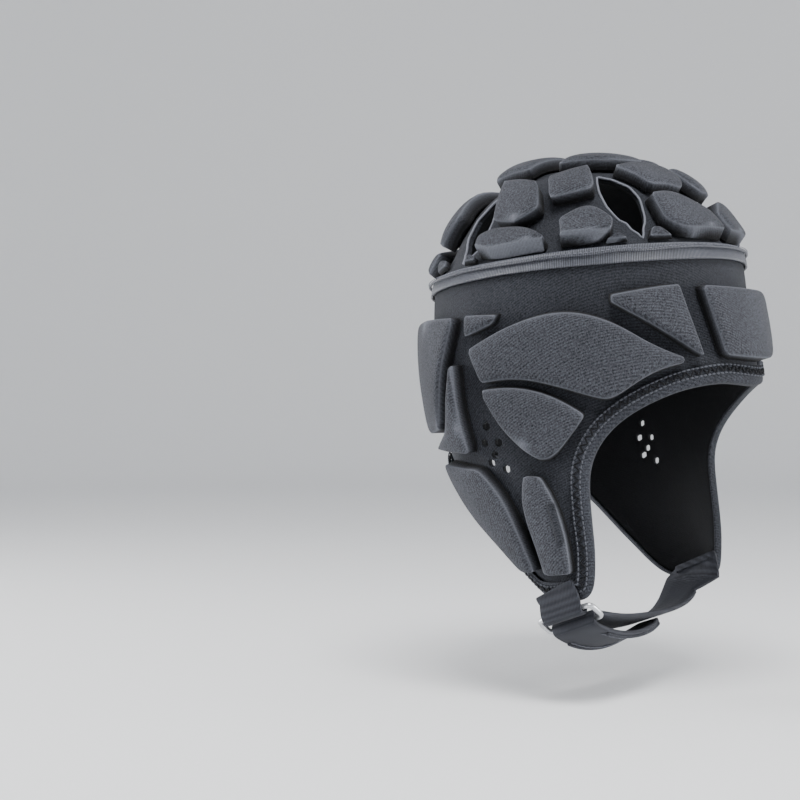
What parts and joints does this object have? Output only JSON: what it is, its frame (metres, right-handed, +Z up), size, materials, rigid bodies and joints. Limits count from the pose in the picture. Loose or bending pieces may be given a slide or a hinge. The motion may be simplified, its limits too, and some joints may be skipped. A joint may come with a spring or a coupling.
{
  "type": "rugby scrum cap",
  "caption": "Soft padded head guard with raised foam pads on a knitted crown and band, open vents, ear flaps and a fastened chin strap, in its worn form.",
  "frame": {"origin": "inside of the crown's top, where the head bears", "axes": "+Z up through the crown, -Y the way the face looks, +X towards the wearer's left"},
  "size_m": [0.191, 0.1802, 0.2503],
  "materials": {
    "shell_knit": "fine ribbed charcoal knit, darker lining inside",
    "pad_knit": "heathered charcoal knit stretched over foam",
    "seam_tape": "ribbed shiny grey tape with two rows of stitches",
    "hem_tape": "folded binding with a zigzag stitch",
    "strap_webbing": "dark close-woven webbing with stitched edges",
    "ring_metal": "satin grey wire"
  },
  "bodies": {
    "root": {"band_pad_back_left": "pad_knit", "band_pad_back_right": "pad_knit", "band_pad_cheek_left": "pad_knit", "band_pad_cheek_right": "pad_knit", "band_pad_crescent_left": "pad_knit", "band_pad_crescent_right": "pad_knit", "band_pad_ear_rear_left": "pad_knit", "band_pad_ear_rear_right": "pad_knit", "band_pad_ear_top_left": "pad_knit", "band_pad_ear_top_right": "pad_knit", "band_pad_fan_left": "pad_knit", "band_pad_fan_right": "pad_knit", "band_pad_forehead": "pad_knit", "band_pad_jaw_rear_left": "pad_knit", "band_pad_jaw_rear_right": "pad_knit", "band_pad_temple_left": "pad_knit", "band_pad_temple_right": "pad_knit", "band_shell": "shell_knit", "buckle_ring": "ring_metal", "chin_strap": "strap_webbing", "crown_pad_front_corner_left": "pad_knit", "crown_pad_front_corner_right": "pad_knit", "crown_pad_front_high_left": "pad_knit", "crown_pad_front_high_right": "pad_knit", "crown_pad_front_low_left": "pad_knit", "crown_pad_front_low_right": "pad_knit", "crown_pad_rear_corner_left": "pad_knit", "crown_pad_rear_corner_right": "pad_knit", "crown_pad_rear_high_left": "pad_knit", "crown_pad_rear_high_right": "pad_knit", "crown_pad_rear_low_left": "pad_knit", "crown_pad_rear_low_right": "pad_knit", "crown_pad_side_front_corner_left": "pad_knit", "crown_pad_side_front_corner_right": "pad_knit", "crown_pad_side_front_high_left": "pad_knit", "crown_pad_side_front_high_right": "pad_knit", "crown_pad_side_front_low_left": "pad_knit", "crown_pad_side_front_low_right": "pad_knit", "crown_pad_side_rear_corner_left": "pad_knit", "crown_pad_side_rear_corner_right": "pad_knit", "crown_pad_side_rear_high_left": "pad_knit", "crown_pad_side_rear_high_right": "pad_knit", "crown_pad_side_rear_low_left": "pad_knit", "crown_pad_side_rear_low_right": "pad_knit", "crown_pad_top_front_left": "pad_knit", "crown_pad_top_front_right": "pad_knit", "crown_pad_top_rear_left": "pad_knit", "crown_pad_top_rear_right": "pad_knit", "crown_shell": "shell_knit", "hem_binding": "hem_tape", "seam_tape": "seam_tape", "strap_tab": "strap_webbing"}
  },
  "joints": []
}
